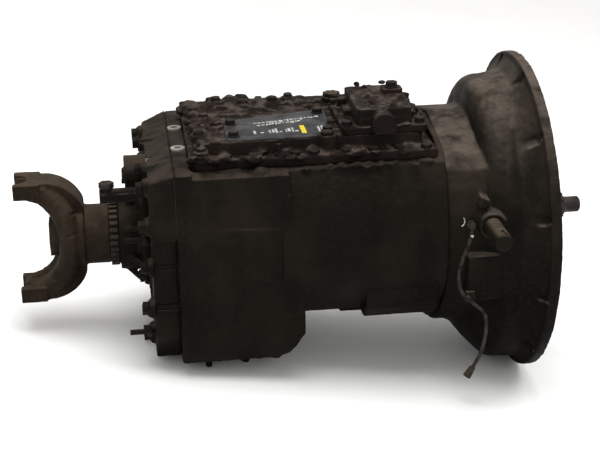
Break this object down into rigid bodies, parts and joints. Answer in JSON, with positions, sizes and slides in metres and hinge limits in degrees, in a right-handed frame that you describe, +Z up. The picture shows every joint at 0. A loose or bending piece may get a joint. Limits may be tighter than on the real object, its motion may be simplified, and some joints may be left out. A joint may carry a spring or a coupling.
{
  "type": "manual transmission",
  "caption": "Heavy truck gearbox: bell-shaped clutch housing, cast case, shift bar cover, range section and output yoke, with gears, shafts and shift parts inside.",
  "frame": {"origin": "centre of the clutch housing's front flange face", "axes": "+X along the shafts towards the engine, +Z up, the clutch release shaft sticks out towards -Y"},
  "size_m": [0.983, 0.561, 0.5519],
  "materials": {
    "bell_iron": "dusty",
    "case_iron": "greasy",
    "cover_iron": "greasy",
    "gasket": "matt",
    "nameplate": "worn",
    "shaft_steel": "ground",
    "gear_steel": "oiled",
    "fork_iron": "machined",
    "bearing_steel": "polished",
    "seal_rubber": "matt",
    "yoke_steel": "dusty",
    "dusty_steel": "dusty",
    "bolt_steel": "greasy",
    "cord_rubber": "matt",
    "brass": "tarnished"
  },
  "bodies": {
    "housing": {"clutch_housing": "bell_iron", "main_case": "case_iron", "front_bearing_retainer": "case_iron", "rear_cover": "case_iron", "gaskets": "gasket", "output_bearing_retainer": "case_iron", "range_cylinder": "case_iron", "shift_bar_housing": "cover_iron", "shift_tower": "cover_iron", "tower_cap": "cover_iron", "nameplate": "nameplate", "idler_pins": "shaft_steel", "shaft_bearings": "bearing_steel", "countershaft_bearings": "bearing_steel", "oil_seals": "seal_rubber", "filler_breather": "bolt_steel", "neutral_switches": "bolt_steel", "air_fitting": "bolt_steel", "clutch_side_bolts": "bolt_steel", "top_bolts": "bolt_steel", "rear_bolts": "bolt_steel", "plugs": "bolt_steel", "cord": "cord_rubber", "cord_gland": "brass", "cord_connector": "cord_rubber", "cord_clip": "bolt_steel"},
    "input": {"input_shaft": "shaft_steel"},
    "left_countershaft": {"countershaft_left": "gear_steel"},
    "right_countershaft": {"countershaft_right": "gear_steel"},
    "third": {"third_gear": "gear_steel"},
    "second": {"second_gear": "gear_steel"},
    "first": {"first_gear": "gear_steel"},
    "reverse": {"reverse_gear": "gear_steel"},
    "left_idler": {"reverse_idler_left": "gear_steel"},
    "right_idler": {"reverse_idler_right": "gear_steel"},
    "main": {"mainshaft": "shaft_steel", "range_drive_gear": "gear_steel"},
    "front_sleeve": {"front_collar": "gear_steel"},
    "middle_sleeve": {"middle_collar": "gear_steel"},
    "reverse_sleeve": {"reverse_collar": "gear_steel"},
    "range_layshaft": {"range_countershaft": "gear_steel"},
    "low_gear": {"low_range_gear": "gear_steel"},
    "output": {"output_shaft": "shaft_steel", "speed_ring": "yoke_steel", "output_yoke": "yoke_steel", "yoke_nut": "yoke_steel"},
    "range_sleeve": {"range_collar": "gear_steel"},
    "range_shift": {"range_piston": "shaft_steel", "range_fork": "fork_iron"},
    "front_shift": {"front_rail": "shaft_steel", "front_fork": "fork_iron"},
    "middle_shift": {"middle_rail": "shaft_steel", "middle_fork": "fork_iron"},
    "reverse_shift": {"reverse_rail": "shaft_steel", "reverse_fork": "fork_iron"},
    "selector": {"select_shaft": "shaft_steel"},
    "finger": {"shift_finger": "fork_iron"},
    "release": {"release_shafts": "dusty_steel", "release_yoke": "fork_iron"},
    "throwout": {"release_bearing": "dusty_steel"}
  },
  "joints": [
    {"name": "input_spin", "type": "hinge", "parent": "housing", "child": "input", "pos_m": [0, 0, 0], "axis": [1, 0, 0], "continuous": true},
    {"name": "left_countershaft_spin", "type": "hinge", "parent": "housing", "child": "left_countershaft", "pos_m": [-0.3, 0.115, 0], "axis": [1, 0, 0], "continuous": true},
    {"name": "right_countershaft_spin", "type": "hinge", "parent": "housing", "child": "right_countershaft", "pos_m": [-0.3, -0.115, 0], "axis": [1, 0, 0], "continuous": true},
    {"name": "third_spin", "type": "hinge", "parent": "housing", "child": "third", "pos_m": [-0.26, 0, 0], "axis": [1, 0, 0], "continuous": true},
    {"name": "second_spin", "type": "hinge", "parent": "housing", "child": "second", "pos_m": [-0.29, 0, 0], "axis": [1, 0, 0], "continuous": true},
    {"name": "first_spin", "type": "hinge", "parent": "housing", "child": "first", "pos_m": [-0.35, 0, 0], "axis": [1, 0, 0], "continuous": true},
    {"name": "reverse_spin", "type": "hinge", "parent": "housing", "child": "reverse", "pos_m": [-0.41, 0, 0], "axis": [1, 0, 0], "continuous": true},
    {"name": "left_idler_spin", "type": "hinge", "parent": "housing", "child": "left_idler", "pos_m": [-0.41, 0.08707, -0.05869], "axis": [1, 0, 0], "continuous": true},
    {"name": "right_idler_spin", "type": "hinge", "parent": "housing", "child": "right_idler", "pos_m": [-0.41, -0.08707, 0.05869], "axis": [1, 0, 0], "continuous": true},
    {"name": "mainshaft_spin", "type": "hinge", "parent": "housing", "child": "main", "pos_m": [-0.33, 0, 0], "axis": [1, 0, 0], "continuous": true},
    {"name": "range_countershaft_spin", "type": "hinge", "parent": "housing", "child": "range_layshaft", "pos_m": [-0.53, 0, -0.11], "axis": [1, 0, 0], "continuous": true},
    {"name": "low_gear_spin", "type": "hinge", "parent": "housing", "child": "low_gear", "pos_m": [-0.545, 0, 0], "axis": [1, 0, 0], "continuous": true},
    {"name": "output_spin", "type": "hinge", "parent": "housing", "child": "output", "pos_m": [-0.65, 0, 0], "axis": [1, 0, 0], "continuous": true},
    {"name": "front_rail_slide", "type": "slide", "parent": "housing", "child": "front_shift", "axis": [1, 0, 0], "range_m": [-0.01, 0.01]},
    {"name": "middle_rail_slide", "type": "slide", "parent": "housing", "child": "middle_shift", "axis": [1, 0, 0], "range_m": [-0.01, 0.01]},
    {"name": "reverse_rail_slide", "type": "slide", "parent": "housing", "child": "reverse_shift", "axis": [1, 0, 0], "range_m": [-0.01, 0]},
    {"name": "front_collar_slide", "type": "slide", "parent": "main", "child": "front_sleeve", "axis": [1, 0, 0], "range_m": [-0.01, 0.01]},
    {"name": "middle_collar_slide", "type": "slide", "parent": "main", "child": "middle_sleeve", "axis": [1, 0, 0], "range_m": [-0.01, 0.01]},
    {"name": "reverse_collar_slide", "type": "slide", "parent": "main", "child": "reverse_sleeve", "axis": [1, 0, 0], "range_m": [-0.01, 0]},
    {"name": "range_piston_slide", "type": "slide", "parent": "housing", "child": "range_shift", "axis": [1, 0, 0], "range_m": [-0.022, 0]},
    {"name": "range_collar_slide", "type": "slide", "parent": "output", "child": "range_sleeve", "axis": [1, 0, 0], "range_m": [-0.022, 0]},
    {"name": "select_turn", "type": "hinge", "parent": "housing", "child": "selector", "pos_m": [-0.265, 0, 0.208], "axis": [0, 1, 0], "range_deg": [-8, 8]},
    {"name": "finger_select", "type": "slide", "parent": "selector", "child": "finger", "axis": [0, 1, 0], "range_m": [-0.03, 0.03]},
    {"name": "clutch_release", "type": "hinge", "parent": "housing", "child": "release", "pos_m": [-0.098, 0, 0.047], "axis": [0, 1, 0], "range_deg": [0, 8]},
    {"name": "release_bearing_slide", "type": "slide", "parent": "housing", "child": "throwout", "axis": [-1, 0, 0], "range_m": [0, 0.008]}
  ],
  "couplings": [
    {"joint": "left_countershaft_spin", "follows": "input_spin", "ratio": -0.91667},
    {"joint": "right_countershaft_spin", "follows": "input_spin", "ratio": -0.91667},
    {"joint": "third_spin", "follows": "input_spin", "ratio": 0.70513},
    {"joint": "second_spin", "follows": "input_spin", "ratio": 0.48889},
    {"joint": "first_spin", "follows": "input_spin", "ratio": 0.32353},
    {"joint": "reverse_spin", "follows": "input_spin", "ratio": -0.39286},
    {"joint": "left_idler_spin", "follows": "input_spin", "ratio": 0.78571},
    {"joint": "right_idler_spin", "follows": "input_spin", "ratio": 0.78571},
    {"joint": "range_countershaft_spin", "follows": "mainshaft_spin", "ratio": -0.83333},
    {"joint": "low_gear_spin", "follows": "mainshaft_spin", "ratio": 0.38889},
    {"joint": "output_spin", "follows": "mainshaft_spin", "ratio": 1},
    {"joint": "front_collar_slide", "follows": "front_rail_slide", "ratio": 1},
    {"joint": "middle_collar_slide", "follows": "middle_rail_slide", "ratio": 1},
    {"joint": "reverse_collar_slide", "follows": "reverse_rail_slide", "ratio": 1},
    {"joint": "range_collar_slide", "follows": "range_piston_slide", "ratio": 1},
    {"joint": "release_bearing_slide", "follows": "clutch_release", "m_per_rad": 0.0558}
  ]
}
